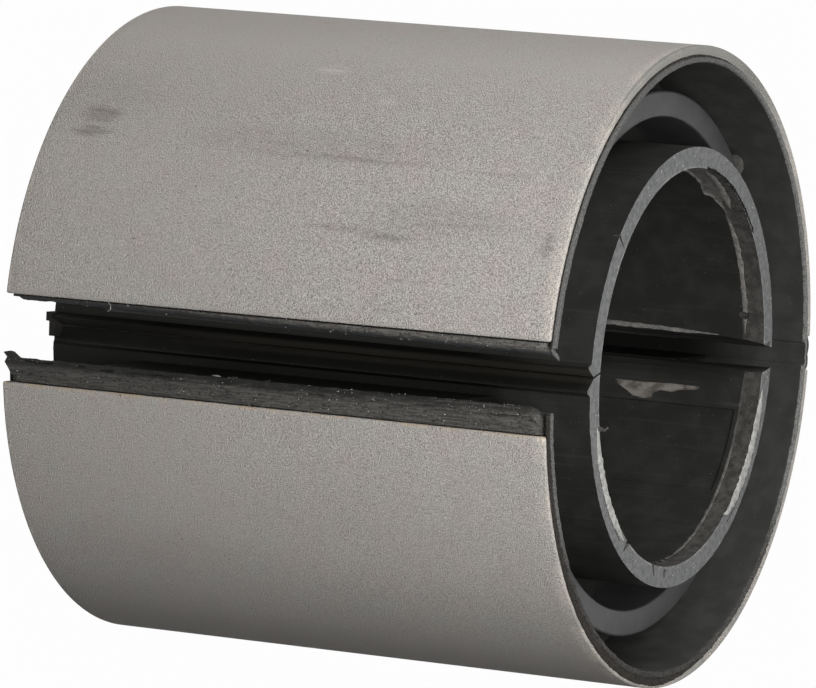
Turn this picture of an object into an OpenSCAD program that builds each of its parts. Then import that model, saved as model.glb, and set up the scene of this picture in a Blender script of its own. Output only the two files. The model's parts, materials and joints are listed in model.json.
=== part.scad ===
// Split sway bar bushing. Two steel half-shells and two pairs of steel half-sleeves are bonded
// into one rubber moulding. It opens at a slot on the -Y side, bends at a rubber hinge web
// on the +Y side, and closes round the bar. It stands on one end, with its axis along +Z.

/* [Overall] */
// Diameter over the steel half-shells
outer_d = 98; // [90:0.5:110]
// Length of the half-shells from end to end
length = 91; // [70:1:120]
// Diameter of the bar that the bore grips
bar_d = 60; // [50:0.5:64]

/* [Half-shells] */
// Steel wall of a half-shell
shell_wall = 2; // [1.5:0.1:3]
// Rounding of the half-shells' ends
shell_edge_r = 0.7; // [0.3:0.05:0.7]
// Gap between the half-shells on the hinge side
hinge_gap = 5.2; // [4:0.1:8]

/* [Intermediate half-sleeves] */
// Wall of an intermediate half-sleeve
mid_wall = 4; // [2.5:0.1:5]
// How far its ends lie inside the shells' ends
mid_recess = 6; // [3:0.5:10]
// Rubber between its long edges and the split
mid_cover = 2; // [1:0.1:4]
// Rounding of its edges
mid_edge_r = 0.4; // [0.2:0.05:0.8]

/* [Inner half-sleeves] */
// Steel wall of an inner half-sleeve
sleeve_wall = 2; // [1.5:0.1:2.5]
// Rubber over its ends
sleeve_rim = 2.4; // [1.5:0.1:4]
// Rubber between its long edge and the crack of the split
sleeve_cover = 1.6; // [1:0.1:3]
// Bare steel that stands out of the rubber along the hinge gap
sleeve_bare = 0.25; // [0.1:0.05:0.5]
// Rounding of its edges
sleeve_edge_r = 0.3; // [0.2:0.05:0.6]

/* [Rubber] */
// Rubber skin between an inner half-sleeve and the bar
bore_skin = 0.8; // [0.6:0.05:1.2]
// Rubber cover on the outside of an inner half-sleeve
ring_cover = 0.8; // [0.5:0.05:1.5]
// How far the ring round the bore lies inside the shells' lower end
ring_recess = 0.2; // [0.1:0.1:2.5]
// Rubber lining bonded to the half-shells
lining = 1.2; // [0.8:0.1:2]
// How far the lining ends inside the shells' ends
lining_recess = 0.3; // [0.1:0.1:1]
// Depth of the ring-shaped recess in each end
void_depth = 16; // [11:1:25]
// Rubber left outside the hinge gap
hinge_web = 2.4; // [2.2:0.1:6]

/* [Split] */
// Clear width of the slot
slot_w = 8.2; // [6:0.2:11]
// Rubber lip that passes the left half-shell's edge
lip_left = 1.9; // [1:0.1:4]
// Rubber lip that passes the right half-shell's edge
lip_right = 3.8; // [1:0.1:5]
// How far the lips and the web end inside the shells' ends
lip_recess = 1; // [0.4:0.1:3]
// Distance between the crests of the sealing lips on the slot's floor
crest_gap = 4.2; // [3:0.1:5]
// Height of the crests over the ring
crest_h = 3; // [1.5:0.1:4]
// Width of a crest's outer slope
crest_foot = 0.7; // [0.4:0.1:2.5]
// Depth of the groove between the crests, below the ring's outside
groove_depth = 1.2; // [0.5:0.1:1.8]
// Crack between the two halves of the ring
crack_w = 0.3; // [0.1:0.05:0.6]

/* [Hinge gap] */
// Width of the hinge gap in the rubber
gap_w = 3.3; // [2:0.1:5]
// Width of the gap at the bore, between the sleeves
gap_bore = 8.8; // [6:0.1:12]
// Width of the gap at the bore, through the rims
gap_rim = 4.6; // [3.5:0.1:6]

/* [Bore] */
// How much deeper the wall lies at the rims, where the skin ends
rim_relief = 0.4; // [0.1:0.05:0.55]
// Depth of the shallow pocket in the right half's bore
pocket_depth = 0.5; // [0.2:0.05:0.55]
// Distance of the pocket from the ends
pocket_inset = 3.5; // [3:0.1:10]
// Angle that the pocket covers round the bore
pocket_angle = 27; // [15:1:35]
// Angle from the hinge to the middle of the pocket
pocket_turn = 29.5; // [25:0.5:40]
// Distance from the upper end to the middle of the patch where the skin has come off
patch_down = 20.6; // [10:0.1:40]
// Length of the patch
patch_l = 5.6; // [2:0.1:12]
// Width of the patch, from the edge of the skin
patch_w = 3; // [1:0.1:4]

/* [Hidden] */
$fn = 96;

LEFT = -1;
RIGHT = 1;
// Cuts run this far past the faces that they open
over = 1;

outer_r = outer_d / 2;
bore_r = bar_d / 2;
shell_r = outer_r - shell_wall;
lining_r = shell_r - lining;
sleeve_r = bore_r + bore_skin;
ring_r = sleeve_r + sleeve_wall + ring_cover;
mid_r = (ring_r + lining_r - mid_wall) / 2;
reach = outer_r + over;

// Half width of the hinge gap at a radius between the bore and the outside of the ring
function gap_half(r) = (gap_bore + (gap_w - gap_bore) * (r - bore_r) / (ring_r - bore_r)) / 2;

// Plan of one half: near is its distance from the middle plane at the slot, far at the hinge
function half_plan(side, near, far) = [
    [side * near, -reach], [side * near, 0], [side * far, 0],
    [side * far, reach], [side * reach, reach], [side * reach, -reach]
];

function lip(side) = side == LEFT ? lip_left : lip_right;

module tube(r_in, r_out, z0, z1) {
    rotate_extrude() translate([r_in, z0]) square([r_out - r_in, z1 - z0]);
}

// A tube whose four end edges are rounded
module rounded_tube(r_in, r_out, z0, z1, edge) {
    rotate_extrude() {
        translate([r_in, z0 + edge]) square([r_out - r_in, z1 - z0 - 2 * edge]);
        translate([r_in + edge, z0]) square([r_out - r_in - 2 * edge, z1 - z0]);
        for (r = [r_in + edge, r_out - edge], z = [z0 + edge, z1 - edge])
            translate([r, z]) circle(edge, $fn = 24);
    }
}

module half_of(side, near, far) {
    intersection() {
        children();
        translate([0, 0, -over]) linear_extrude(length + 2 * over)
            polygon(half_plan(side, near, far));
    }
}

module outer_shell(side) {
    half_of(side, slot_w / 2 + lip(side), hinge_gap / 2)
        rounded_tube(shell_r, outer_r, 0, length, shell_edge_r);
}

module intermediate_sleeve(side) {
    half_of(side, slot_w / 2 + mid_cover, gap_w / 2 + mid_cover)
        rounded_tube(mid_r, mid_r + mid_wall, mid_recess, length - mid_recess, mid_edge_r);
}

module inner_sleeve(side) {
    half_of(side, crack_w / 2 + sleeve_cover, gap_half(sleeve_r) - sleeve_bare)
        rounded_tube(sleeve_r, sleeve_r + sleeve_wall, ring_recess + sleeve_rim,
            length - sleeve_rim, sleeve_edge_r);
}

// Rubber that fills the gaps between the half-shells: the two lips and the hinge web
module between_shells() {
    difference() {
        tube(lining_r, outer_r, lip_recess, length - lip_recess);
        for (side = [LEFT, RIGHT])
            translate([0, 0, -over]) linear_extrude(length + 2 * over)
                polygon(half_plan(side, slot_w / 2 + lip(side), hinge_gap / 2));
    }
}

// The slot runs from the outside down to the ring round the bore
module slot_cut() {
    difference() {
        translate([-slot_w / 2, -reach, -over]) cube([slot_w, reach, length + 2 * over]);
        translate([0, 0, -2 * over]) cylinder(r = ring_r, h = length + 4 * over);
    }
}

// Two sealing lips with a groove between them, along the floor of the slot
module crests() {
    crest_r = ring_r + crest_h;
    root_r = ring_r - ring_cover;
    foot = crest_gap / 2 + crest_foot;
    translate([0, 0, ring_recess]) linear_extrude(length - ring_recess)
        polygon([
            [-foot, -root_r], [-crest_gap / 2, -crest_r],
            [crest_gap / 2, -crest_r], [foot, -root_r]
        ]);
}

module groove_cut() {
    crest_r = ring_r + crest_h;
    translate([0, 0, -over]) linear_extrude(length + 2 * over) {
        polygon([
            [-crest_gap / 2, -crest_r], [0, -ring_r + groove_depth], [crest_gap / 2, -crest_r]
        ]);
        translate([-crack_w / 2, -ring_r]) square([crack_w, ring_r]);
    }
}

// The hinge gap tapers from the bore to the outside of the ring and ends round inside the web
module hinge_cut(bore_w, z0, z1) {
    end_y = outer_r - hinge_web - gap_w / 2;
    translate([0, 0, z0]) linear_extrude(z1 - z0) {
        polygon([
            [-bore_w / 2, 0], [-bore_w / 2, bore_r], [-gap_w / 2, ring_r], [-gap_w / 2, end_y],
            [gap_w / 2, end_y], [gap_w / 2, ring_r], [bore_w / 2, bore_r], [bore_w / 2, 0]
        ]);
        translate([0, end_y]) circle(gap_w / 2);
    }
}

// A shallow cut into the bore's wall, from one angle over a span and from one height to another
module bore_cut(start, span, depth, z0, z1) {
    rotate([0, 0, start]) rotate_extrude(angle = span)
        translate([bore_r - over, z0]) square([over + depth, z1 - z0]);
}

// Each rim is a little wider than the bore between them
module rim_cut() {
    for (z = [ring_recess - over, length - sleeve_rim])
        bore_cut(0, 360, rim_relief, z, z + over + sleeve_rim);
}

module pocket_cut() {
    start = 90 - pocket_turn - pocket_angle / 2;
    bore_cut(start, pocket_angle, pocket_depth, ring_recess + pocket_inset, length - pocket_inset);
}

// The patch where the skin is gone starts at the hinge gap and bares the right inner half-sleeve
module patch_cut() {
    edge_turn = asin(gap_bore / 2 / bore_r);
    span = edge_turn + patch_w / bore_r * 180 / PI;
    patch_z = length - patch_down;
    bore_cut(90 - span, span, bore_skin, patch_z - patch_l / 2, patch_z + patch_l / 2);
}

module rubber() {
    difference() {
        union() {
            difference() {
                union() {
                    tube(lining_r, shell_r, lining_recess, length - lining_recess);
                    between_shells();
                    tube(sleeve_r, lining_r + lining / 2, void_depth, length - void_depth);
                }
                slot_cut();
            }
            tube(bore_r, ring_r, ring_recess, length);
            difference() {
                crests();
                translate([0, 0, -over]) cylinder(r = sleeve_r, h = length + 2 * over);
            }
        }
        groove_cut();
        hinge_cut(gap_rim, -over, length + over);
        hinge_cut(gap_bore, ring_recess + sleeve_rim, length - sleeve_rim);
        rim_cut();
        pocket_cut();
        patch_cut();
        for (side = [LEFT, RIGHT]) {
            intermediate_sleeve(side);
            inner_sleeve(side);
        }
    }
}

module outer_shell_left() color("#a39c95") outer_shell(LEFT);
module outer_shell_right() color("#a39c95") outer_shell(RIGHT);
module intermediate_sleeve_left() color("#4d4e4f") intermediate_sleeve(LEFT);
module intermediate_sleeve_right() color("#4d4e4f") intermediate_sleeve(RIGHT);
module inner_sleeve_left() color("#75706b") inner_sleeve(LEFT);
module inner_sleeve_right() color("#75706b") inner_sleeve(RIGHT);
module rubber_body() color("#2c2c2b") rubber();

outer_shell_left();
outer_shell_right();
intermediate_sleeve_left();
intermediate_sleeve_right();
inner_sleeve_left();
inner_sleeve_right();
rubber_body();
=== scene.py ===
import json
import math

import bmesh
import bpy
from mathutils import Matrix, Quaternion, Vector, noise


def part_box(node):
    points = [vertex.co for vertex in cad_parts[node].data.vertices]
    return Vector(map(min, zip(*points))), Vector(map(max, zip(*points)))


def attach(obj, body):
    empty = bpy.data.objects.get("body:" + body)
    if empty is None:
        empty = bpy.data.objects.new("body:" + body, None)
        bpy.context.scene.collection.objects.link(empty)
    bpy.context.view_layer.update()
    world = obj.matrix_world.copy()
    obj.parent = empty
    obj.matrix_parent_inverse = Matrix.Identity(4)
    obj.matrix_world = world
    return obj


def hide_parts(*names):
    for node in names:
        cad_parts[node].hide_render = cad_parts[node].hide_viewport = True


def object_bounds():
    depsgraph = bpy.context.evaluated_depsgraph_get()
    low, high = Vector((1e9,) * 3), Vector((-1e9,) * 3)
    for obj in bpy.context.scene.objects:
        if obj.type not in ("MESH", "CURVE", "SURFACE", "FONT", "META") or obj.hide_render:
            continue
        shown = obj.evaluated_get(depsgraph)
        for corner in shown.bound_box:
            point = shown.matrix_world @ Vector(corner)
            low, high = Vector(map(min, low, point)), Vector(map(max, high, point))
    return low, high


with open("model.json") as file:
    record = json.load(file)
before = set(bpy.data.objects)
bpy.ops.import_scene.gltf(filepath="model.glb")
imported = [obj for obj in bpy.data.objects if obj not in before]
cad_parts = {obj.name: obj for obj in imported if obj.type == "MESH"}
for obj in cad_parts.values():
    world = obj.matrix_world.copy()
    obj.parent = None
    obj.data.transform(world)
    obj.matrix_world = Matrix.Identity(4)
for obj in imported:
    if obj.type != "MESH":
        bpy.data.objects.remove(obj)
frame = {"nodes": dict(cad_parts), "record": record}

cad_low, cad_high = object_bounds()

# Inner half-sleeves
# Two pressed steel half-tubes that stiffen the ring round the bore. The rubber is moulded over
# them and leaves bare only a thin edge along the hinge gap and one patch, dull and stained.
MM = 0.001


def new_finish(name, roughness, specular=0.5, metallic=0.0):
    """A material with the constants of its surface, its node tree and its shader."""
    finish = bpy.data.materials.new(name)
    finish.use_nodes = True
    shader = finish.node_tree.nodes["Principled BSDF"]
    shader.inputs["Roughness"].default_value = roughness
    shader.inputs["Specular IOR Level"].default_value = specular
    shader.inputs["Metallic"].default_value = metallic
    return finish, finish.node_tree, shader


def placed(tree, scale, shift=(0, 0, 0)):
    """The place on the part, scaled along each axis and then shifted."""
    place = tree.nodes.new("ShaderNodeTexCoord")
    fit = tree.nodes.new("ShaderNodeMapping")
    fit.inputs["Scale"].default_value = scale
    fit.inputs["Location"].default_value = shift
    tree.links.new(place.outputs["Object"], fit.inputs["Vector"])
    return fit.outputs["Vector"]


def grain(tree, size, detail=2.0, stretch=(1, 1, 1)):
    """Noise whose grains measure about that many millimetres, times the stretch along each axis."""
    spots = tree.nodes.new("ShaderNodeTexNoise")
    spots.inputs["Scale"].default_value = 1.0
    spots.inputs["Detail"].default_value = detail
    vector = placed(tree, [1 / (size * MM * times) for times in stretch])
    tree.links.new(vector, spots.inputs["Vector"])
    return spots.outputs["Fac"]


def share(tree, value, low, high, most=1.0):
    """How far a value has come from low to high, from 0 up to most, with soft ends."""
    part = tree.nodes.new("ShaderNodeMapRange")
    part.interpolation_type = "SMOOTHSTEP"
    part.inputs["From Min"].default_value = low
    part.inputs["From Max"].default_value = high
    part.inputs["To Max"].default_value = most
    tree.links.new(value, part.inputs["Value"])
    return part.outputs["Result"]


def span(tree, place, low, high, most=1.0):
    """The same for a length or a place, between two places in millimetres."""
    return share(tree, place, low * MM, high * MM, most)


def reckon(tree, operation, first, second):
    """One sum with two values, each of them a number or a socket."""
    sum_node = tree.nodes.new("ShaderNodeMath")
    sum_node.operation = operation
    for socket, value in zip(sum_node.inputs, (first, second)):
        if isinstance(value, (int, float)):
            socket.default_value = value
        else:
            tree.links.new(value, socket)
    return sum_node.outputs["Value"]


def blended(tree, factor, first, second):
    """A colour between two colours, each of them three numbers or a socket."""
    blend = tree.nodes.new("ShaderNodeMix")
    blend.data_type = "RGBA"
    tree.links.new(factor, blend.inputs[0])
    for socket, colour in ((blend.inputs[6], first), (blend.inputs[7], second)):
        if isinstance(colour, tuple):
            socket.default_value = (*colour, 1.0)
        else:
            tree.links.new(colour, socket)
    return blend.outputs[2]


def spotted(tree, first, second, size, low, high, most=1.0, detail=2.0, stretch=(1, 1, 1)):
    """One colour with spots of a second one, which come in as the grain goes from low to high."""
    return blended(tree, share(tree, grain(tree, size, detail, stretch), low, high, most), first, second)


def add_relief(tree, shader, height, depth):
    """Lays a bump of that many millimetres over the relief that the shader has already."""
    bump = tree.nodes.new("ShaderNodeBump")
    bump.inputs["Distance"].default_value = depth * MM
    tree.links.new(height, bump.inputs["Height"])
    normal = shader.inputs["Normal"]
    if normal.is_linked:
        tree.links.new(normal.links[0].from_socket, bump.inputs["Normal"])
    tree.links.new(bump.outputs["Normal"], normal)


def paint(tree, shader, colour):
    tree.links.new(colour, shader.inputs["Base Color"])


def make_bare_steel():
    finish, tree, shader = new_finish("bare_sleeve_steel", 0.45, metallic=0.5)
    stained = spotted(tree, (0.26, 0.242, 0.221), (0.12, 0.106, 0.092), 1.6, 0.42, 0.62, detail=4.0)
    scuffed = spotted(tree, stained, (0.3, 0.286, 0.264), 0.25, 0.58, 0.72, 0.6, stretch=(1, 1, 6))
    paint(tree, shader, scuffed)
    add_relief(tree, shader, grain(tree, 0.3, 3.0), 0.03)
    return finish


bare_steel = make_bare_steel()
for node in ("inner_sleeve_left", "inner_sleeve_right"):
    sleeve = frame["nodes"][node]
    sleeve.data.materials.clear()
    sleeve.data.materials.append(bare_steel)

# Intermediate half-sleeves
# Two thick steel half-tubes in the middle of the rubber. Their smooth ends, dark grey with
# bonding coat, stand out of the rubber at the bottom of each end recess.
LEFT = -1
RIGHT = 1


def round_place(side, r, turn, z):
    """The point at a turn from the slot, round that side, in metres."""
    return Vector((side * r * math.sin(turn), -r * math.cos(turn), z)) * MM


def flat_place(x, r, z):
    """The point on the slot side at that radius and distance from the middle plane."""
    return Vector((x, -math.sqrt(r * r - x * x), z)) * MM


def lofted(name, sections):
    """A closed mesh through sections of equally many points, with both ends filled."""
    build = bmesh.new()
    rings = [[build.verts.new(point) for point in section] for section in sections]
    for ring, following in zip(rings, rings[1:]):
        for i, corner in enumerate(ring):
            build.faces.new((ring[i - 1], corner, following[i], following[i - 1]))
    build.faces.new(rings[0])
    build.faces.new(rings[-1])
    bmesh.ops.recalc_face_normals(build, faces=build.faces)
    mesh = bpy.data.meshes.new(name)
    build.to_mesh(mesh)
    build.free()
    piece = bpy.data.objects.new(name, mesh)
    bpy.context.collection.objects.link(piece)
    return piece


def smooth(piece, crease=35):
    piece.data.shade_smooth()
    piece.data.set_sharp_from_angle(angle=math.radians(crease))


def wall_section(wall, inset, rows):
    """Outline of a sleeve's wall as (radius, height) points, with four rounded corners."""
    r_in, r_out, z_low, z_high, edge = wall
    corner_steps = 5
    corners = (
        (r_out - edge, z_low + edge, -90), (r_out - edge, z_high - edge, 0),
        (r_in + edge, z_high - edge, 90), (r_in + edge, z_low + edge, 180),
    )
    arcs = []
    for r, z, start in corners:
        turns = [math.radians(start + 90 * i / corner_steps) for i in range(corner_steps + 1)]
        bend = edge - inset
        arcs.append([(r + bend * math.cos(t), z + bend * math.sin(t)) for t in turns])
    outline = []
    for arc, following, pieces in zip(arcs, arcs[1:] + arcs[:1], (rows, 2, rows, 2)):
        outline += arc
        r0, z0 = arc[-1]
        r1, z1 = following[0]
        for i in range(1, pieces):
            outline.append((r0 + (r1 - r0) * i / pieces, z0 + (z1 - z0) * i / pieces))
    return outline


def half_sleeve(name, side, wall, near, far, soft, steps=200, rows=24):
    """A half-tube from near, its slot edge at the lower and the upper end, to far, at the hinge."""
    low_near, high_near = near
    z_low, z_high = wall[2:4]

    def section(inset, past, step):
        """The wall's outline at a step of the way round, with both edges drawn in by past."""
        points = []
        for r, z in wall_section(wall, inset, rows):
            near_here = low_near + (high_near - low_near) * (z - z_low) / (z_high - z_low)
            start = math.asin((near_here + past) / r)
            end = math.pi - math.asin((far + past) / r)
            points.append(round_place(side, r, start + (end - start) * step / steps, z))
        return points

    rounding = []
    for i in range(4):
        turn = math.radians(30 * i)
        rounding.append((soft * (1 - math.sin(turn)), soft * (1 - math.cos(turn))))
    sections = [section(inset, past, 0) for inset, past in rounding]
    sections += [section(0, soft, step) for step in range(1, steps)]
    sections += [section(inset, past, steps) for inset, past in reversed(rounding)]
    return lofted(name, sections)


def make_coated_steel():
    finish, tree, shader = new_finish("coated_sleeve_steel", 0.42, 0.2)
    clouded = spotted(tree, (0.037, 0.038, 0.037), (0.046, 0.047, 0.046), 5, 0.4, 0.65, detail=3.0)
    specked = spotted(tree, clouded, (0.25, 0.24, 0.23), 0.3, 0.75, 0.8, 0.7, detail=1.0)
    paint(tree, shader, specked)
    add_relief(tree, shader, grain(tree, 0.5), 0.015)
    return finish


coated_steel = make_coated_steel()
mid_low, mid_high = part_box("intermediate_sleeve_left")
mid_r_in = 37.7
mid_r_out = 41.7
mid_wall = (mid_r_in, mid_r_out, mid_low.z / MM, mid_high.z / MM, 0.4)
mid_soft = 0.3
mid_near = (6.1, 6.1)
mid_far = 3.65
for side, node in ((LEFT, "intermediate_sleeve_left"), (RIGHT, "intermediate_sleeve_right")):
    sleeve = half_sleeve(node + "_steel", side, mid_wall, mid_near, mid_far, mid_soft)
    sleeve.data.materials.append(coated_steel)
    smooth(sleeve)
    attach(sleeve, "root")
    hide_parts(node)

# Outer half-shells
# Two half-tubes of rolled steel plate, 2 mm thick, shot-blasted and phosphated to a warm matt
# grey. Handling has left soft dark rubs on them, rust along one edge and worn, brighter ends.
mounts = {mount["name"]: mount for mount in frame["record"]["mounts"]}
outer_r = mounts["outside"]["dims"]["r_mm"]
length = (cad_high.z - cad_low.z) / MM
shell_thick = 2
shell_edge = 0.35
shell_wall = (outer_r - shell_thick, outer_r, 0, length, shell_edge)
shell_near = {LEFT: (5.5, 6.0), RIGHT: (7.9, 7.9)}
shell_far = 2.6


def away(tree, scale, shift=(0, 0, 0)):
    """Distance from the origin, after the place is scaled along each axis and shifted."""
    measure = tree.nodes.new("ShaderNodeVectorMath")
    measure.operation = "LENGTH"
    tree.links.new(placed(tree, scale, shift), measure.inputs[0])
    return measure.outputs["Value"]


def from_axis(tree):
    return away(tree, (1, 1, 0))


def blob(tree, side, turn, z, wide, long):
    """A soft patch on the shells: 1 at its middle, fading to 0 at its width and length."""
    middle = round_place(side, outer_r, math.radians(turn), z)
    reach = Vector((wide, wide, long)) * MM
    shift = [-m / r for m, r in zip(middle, reach)]
    return share(tree, away(tree, [1 / r for r in reach], shift), 1.0, 0.25)


def coordinates(tree):
    """The place on the part as three values, in metres."""
    place = tree.nodes.new("ShaderNodeSeparateXYZ")
    tree.links.new(placed(tree, (1, 1, 1)), place.inputs[0])
    return place.outputs["X"], place.outputs["Y"], place.outputs["Z"]


def all_of(tree, *values):
    """The product of several shares."""
    product = values[0]
    for value in values[1:]:
        product = reckon(tree, "MULTIPLY", product, value)
    return product


def any_of(tree, *values):
    """The greatest of several shares."""
    greatest = values[0]
    for value in values[1:]:
        greatest = reckon(tree, "MAXIMUM", greatest, value)
    return greatest


def make_shell_steel():
    """Blasted and phosphated steel: fine sand relief, soft dark rubs and brighter worn ends, with painted
    shade on the +X side and the upper rim and painted glints in the sand.
    """
    finish, tree, shader = new_finish("phosphated_shell_steel", 0.65, 0.02)
    x, y, z = coordinates(tree)
    # Painted glints: the sand's grains are the steel's own, but their colour contrast is raised towards the
    # upper end, the near side and the -X side, where the lamps catch the relief.
    calmer_low = any_of(tree, span(tree, z, 0, 60), 0.5)
    calmer_beside = any_of(tree, span(tree, y, -12, -36), span(tree, y, 2, 24, 0.9), 0.25)
    calmer_right = any_of(tree, span(tree, x, 4, -4), 0.62)
    glint_share = all_of(tree, calmer_low, calmer_beside, calmer_right)
    grit = reckon(tree, "SUBTRACT", grain(tree, 0.2), 0.5)
    sand = share(tree, all_of(tree, grit, glint_share), -0.2, 0.2)
    grey = blended(tree, sand, (0.246, 0.236, 0.22), (0.562, 0.542, 0.506))
    warm = blended(tree, sand, (0.251, 0.231, 0.217), (0.572, 0.529, 0.497))
    colour = spotted(tree, grey, warm, 5, 0.36, 0.64)
    drawn_out = share(tree, grain(tree, 0.9, 3.0, (1, 1, 9)), 0.3, 0.65)
    streaks = any_of(tree, drawn_out, 0.55)
    rub_colour = (0.1, 0.088, 0.08)
    rubs = (
        (LEFT, 42.5, 8, 2.2, 4.6, 0.55), (LEFT, 38.5, 7.5, 1.4, 4.6, 0.5), (LEFT, 46, 6, 9, 16, 0.12),
        (LEFT, 39.5, 46, 4.5, 30, 0.15), (LEFT, 37, 50, 0.9, 19, 0.3), (LEFT, 36.4, 78, 0.6, 7, 0.26),
        (LEFT, 26.5, 70, 5, 18, 0.2), (LEFT, 23.6, 54, 0.8, 9, 0.34), (LEFT, 22.6, 62, 1, 7, 0.34),
        (LEFT, 24, 88, 3.2, 1.6, 0.42), (RIGHT, 40, 20, 7, 30, 0.08),
    )
    scrape_colour = (0.7, 0.68, 0.64)
    scrapes = ((LEFT, 59, 41.5, 1.6, 4, 0.4), (LEFT, 51, 53.5, 1, 3, 0.32))
    for marks, lines, tone in ((rubs, streaks, rub_colour), (scrapes, drawn_out, scrape_colour)):
        for side, turn, along, wide, long, most in marks:
            mark = all_of(tree, blob(tree, side, turn, along, wide, long), lines, most)
            colour = blended(tree, mark, colour, tone)
    # Painted shade: the +X side, turned away from the lamps, is darkened.
    painted_side_shade = span(tree, x, 28, 50, 0.38)
    colour = blended(tree, painted_side_shade, colour, (0.09, 0.09, 0.083))
    end_bands = any_of(tree, span(tree, z, length - 2.6, length - 0.8), span(tree, z, 1.2, 0.4))
    patchy = share(tree, grain(tree, 5), 0.35, 0.6)
    chips = share(tree, grain(tree, 0.22), 0.46, 0.62, 0.7)
    worn = all_of(tree, end_bands, patchy, chips)
    colour = blended(tree, worn, colour, (0.66, 0.61, 0.53))
    # Painted shade: the rounding of the upper rim on the -X side is darkened to hold down the top light that
    # falls on it.
    painted_rim_shade = all_of(tree, span(tree, x, -33, -46, 0.7), span(tree, z, length - 0.9, length - 0.3))
    colour = blended(tree, painted_rim_shade, colour, (0.13, 0.132, 0.122))
    bare_corner = all_of(tree, blob(tree, RIGHT, 9.8, length - 0.4, 1.1, 1.3), chips)
    colour = blended(tree, bare_corner, colour, (0.85, 0.74, 0.58))
    rust_edge = shell_near[RIGHT][1] + 0.1
    rust = all_of(
        tree, span(tree, x, rust_edge + 0.55, rust_edge + 0.1), span(tree, y, -40, -45),
        span(tree, x, 5, 6), share(tree, grain(tree, 0.6, 3.0, (1, 1, 5)), 0.35, 0.65, 0.75))
    colour = blended(tree, rust, colour, (0.5, 0.39, 0.27))
    pale_specks = spotted(tree, colour, (0.62, 0.6, 0.56), 0.5, 0.765, 0.8, 0.8, detail=1.0)
    dark_flecks = spotted(tree, pale_specks, (0.08, 0.075, 0.07), 0.6, 0.245, 0.21, 0.7, detail=1.0)
    paint(tree, shader, dark_flecks)
    add_relief(tree, shader, all_of(tree, grit, calmer_beside), 0.4)
    add_relief(tree, shader, grain(tree, 7), 0.05)
    return finish


shell_steel = make_shell_steel()
for side, node in ((LEFT, "outer_shell_left"), (RIGHT, "outer_shell_right")):
    near = shell_near[side]
    shell = half_sleeve(node + "_steel", side, shell_wall, near, shell_far, shell_edge, 160, 60)
    shell.data.materials.append(shell_steel)
    smooth(shell)
    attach(shell, "root")
    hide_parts(node)

# Rubber body
# One black rubber moulding, bonded to all six steel pieces: the lining of the shells, the torn
# lips along the slot, the hinge web, the block in the middle and the split ring round the bore,
# which is grey and pitted where its upper end was trimmed.
bore_r = mounts["bore"]["dims"]["r_mm"]
ring_r = 33.6
rim_relief = 0.4
ring_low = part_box("rubber_body")[0].z / MM
MOULDED, TRIMMED, TORN, RIM, PALE, LEDGE, LINED, FRAYED = range(8)
left_lip_inner = (4.75, 3.9)
right_lip_inner = (4.3, 3.8)


def make_moulded_rubber():
    """Dusty black rubber with the mould's drag lines, with painted shade far down in the slot and the hinge
    gap and a painted lit band in the slot's groove.
    """
    finish, tree, shader = new_finish("moulded_rubber", 0.5, 0.06)
    x, y, z = coordinates(tree)
    bloom = share(tree, grain(tree, 4, 4.0), 0.38, 0.68)
    inside = blended(tree, bloom, (0.0165, 0.0165, 0.0155), (0.022, 0.022, 0.0205))
    dusty = blended(tree, bloom, (0.03, 0.03, 0.029), (0.04, 0.04, 0.0385))
    colour = blended(tree, span(tree, from_axis(tree), 41, 45), inside, dusty)
    colour = spotted(tree, colour, (0.055, 0.054, 0.052), 0.5, 0.55, 0.75, 0.12, stretch=(1, 1, 40))
    beside = reckon(tree, "ABSOLUTE", x, 0)
    # Painted shade: the slot and the hinge gap are painted near black, a little lighter towards the slot's
    # low end and on its -X side.
    in_slot = all_of(
        tree, span(tree, beside, 7.5, 6.0), span(tree, y, -29, -31),
        any_of(tree, span(tree, z, 8, 34), 0.25),
        any_of(tree, span(tree, z, 79, 74), span(tree, beside, 2.6, 2.0)))
    in_gap = all_of(
        tree, span(tree, beside, 2.6, 1.8), span(tree, y, 31, 33),
        any_of(tree, span(tree, y, 45.5, 44.5), span(tree, z, 80, 70)))
    deep = blended(tree, span(tree, x, -2.2, -1.4), (0.024, 0.0235, 0.022), (0.0085, 0.0085, 0.0078))
    colour = blended(tree, any_of(tree, in_slot, in_gap), colour, deep)
    # Painted light: a lit band along the groove between the crests, lighter and browner on its -X wall.
    lit_wall = all_of(tree, in_slot, span(tree, x, -1.6, -1.0), span(tree, x, 1.1, 0.5))
    brown = blended(tree, span(tree, x, -0.3, 0.3), (0.034, 0.031, 0.026), (0.02, 0.0185, 0.0155))
    colour = blended(tree, lit_wall, colour, brown)
    dusted = spotted(tree, colour, (0.2, 0.195, 0.185), 0.3, 0.75, 0.8, 0.4, detail=1.0)
    paint(tree, shader, dusted)
    add_relief(tree, shader, grain(tree, 0.4, 3.0), 0.025)
    add_relief(tree, shader, grain(tree, 0.5, 2.0, (1, 1, 30)), 0.035)
    return finish


def make_worn_rubber(name, dark, light, size, depth):
    """Cut or scuffed rubber: two greys in clouds, small pits, pale dust and a rough relief."""
    finish, tree, shader = new_finish(name, 0.68, 0.15)
    clouded = spotted(tree, dark, light, 2.2 * size, 0.34, 0.66, detail=4.0)
    pit_colour = tuple(0.4 * part for part in dark)
    pitted = spotted(tree, clouded, pit_colour, 0.7 * size, 0.6, 0.7, 0.7)
    dust_colour = tuple(min(0.6, 2.8 * part) for part in light)
    dusted = spotted(tree, pitted, dust_colour, 0.5 * size, 0.7, 0.78, 0.5, detail=1.0)
    paint(tree, shader, dusted)
    add_relief(tree, shader, grain(tree, size, 3.0), depth)
    return finish


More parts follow.
